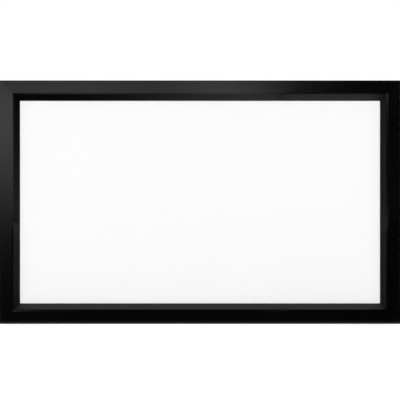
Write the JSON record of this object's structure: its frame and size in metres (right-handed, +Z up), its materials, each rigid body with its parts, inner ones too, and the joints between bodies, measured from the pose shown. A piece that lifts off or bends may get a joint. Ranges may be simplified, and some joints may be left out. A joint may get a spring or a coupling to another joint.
{
  "type": "projector screen",
  "caption": "Wall-hung fixed-frame projection screen: matt white vinyl snapped behind a mitred satin-black aluminium frame whose inner edge slopes in to the picture.",
  "frame": {"origin": "centre of the whole part, which is the centre of the picture on the sheet's front face", "axes": "+X along the screen's width to the viewer's right, +Y from the picture back to the wall, +Z up"},
  "size_m": [1.971, 0.0576, 1.196],
  "materials": {
    "satin_black": "satin black coating on aluminium",
    "white_vinyl": "matt white projection vinyl",
    "black_webbing": "black polyester webbing",
    "zinc_steel": "zinc-plated steel",
    "bare_aluminium": "bare extruded aluminium",
    "black_plastic": "moulded black plastic",
    "black_powder_coat": "black powder coat on folded steel",
    "black_rubber": "moulded rubber"
  },
  "bodies": {
    "root": {"binding_bottom": "black_webbing", "binding_left": "black_webbing", "binding_right": "black_webbing", "binding_top": "black_webbing", "bottom_rail": "satin_black", "bumper_left": "black_rubber", "bumper_right": "black_rubber", "channel_nut_bottom": "zinc_steel", "channel_nut_top": "zinc_steel", "corner_bracket_bottom_left": "zinc_steel", "corner_bracket_bottom_right": "zinc_steel", "corner_bracket_top_left": "zinc_steel", "corner_bracket_top_right": "zinc_steel", "corner_screw_bottom_left_1": "zinc_steel", "corner_screw_bottom_left_2": "zinc_steel", "corner_screw_bottom_left_3": "zinc_steel", "corner_screw_bottom_left_4": "zinc_steel", "corner_screw_bottom_right_1": "zinc_steel", "corner_screw_bottom_right_2": "zinc_steel", "corner_screw_bottom_right_3": "zinc_steel", "corner_screw_bottom_right_4": "zinc_steel", "corner_screw_top_left_1": "zinc_steel", "corner_screw_top_left_2": "zinc_steel", "corner_screw_top_left_3": "zinc_steel", "corner_screw_top_left_4": "zinc_steel", "corner_screw_top_right_1": "zinc_steel", "corner_screw_top_right_2": "zinc_steel", "corner_screw_top_right_3": "zinc_steel", "corner_screw_top_right_4": "zinc_steel", "left_rail": "satin_black", "projection_sheet": "white_vinyl", "right_rail": "satin_black", "support_bar": "bare_aluminium", "support_bar_cap_bottom": "black_plastic", "support_bar_cap_top": "black_plastic", "support_bar_screw_bottom": "zinc_steel", "support_bar_screw_top": "zinc_steel", "top_rail": "satin_black", "wall_bracket_left": "black_powder_coat", "wall_bracket_right": "black_powder_coat"}
  },
  "joints": []
}
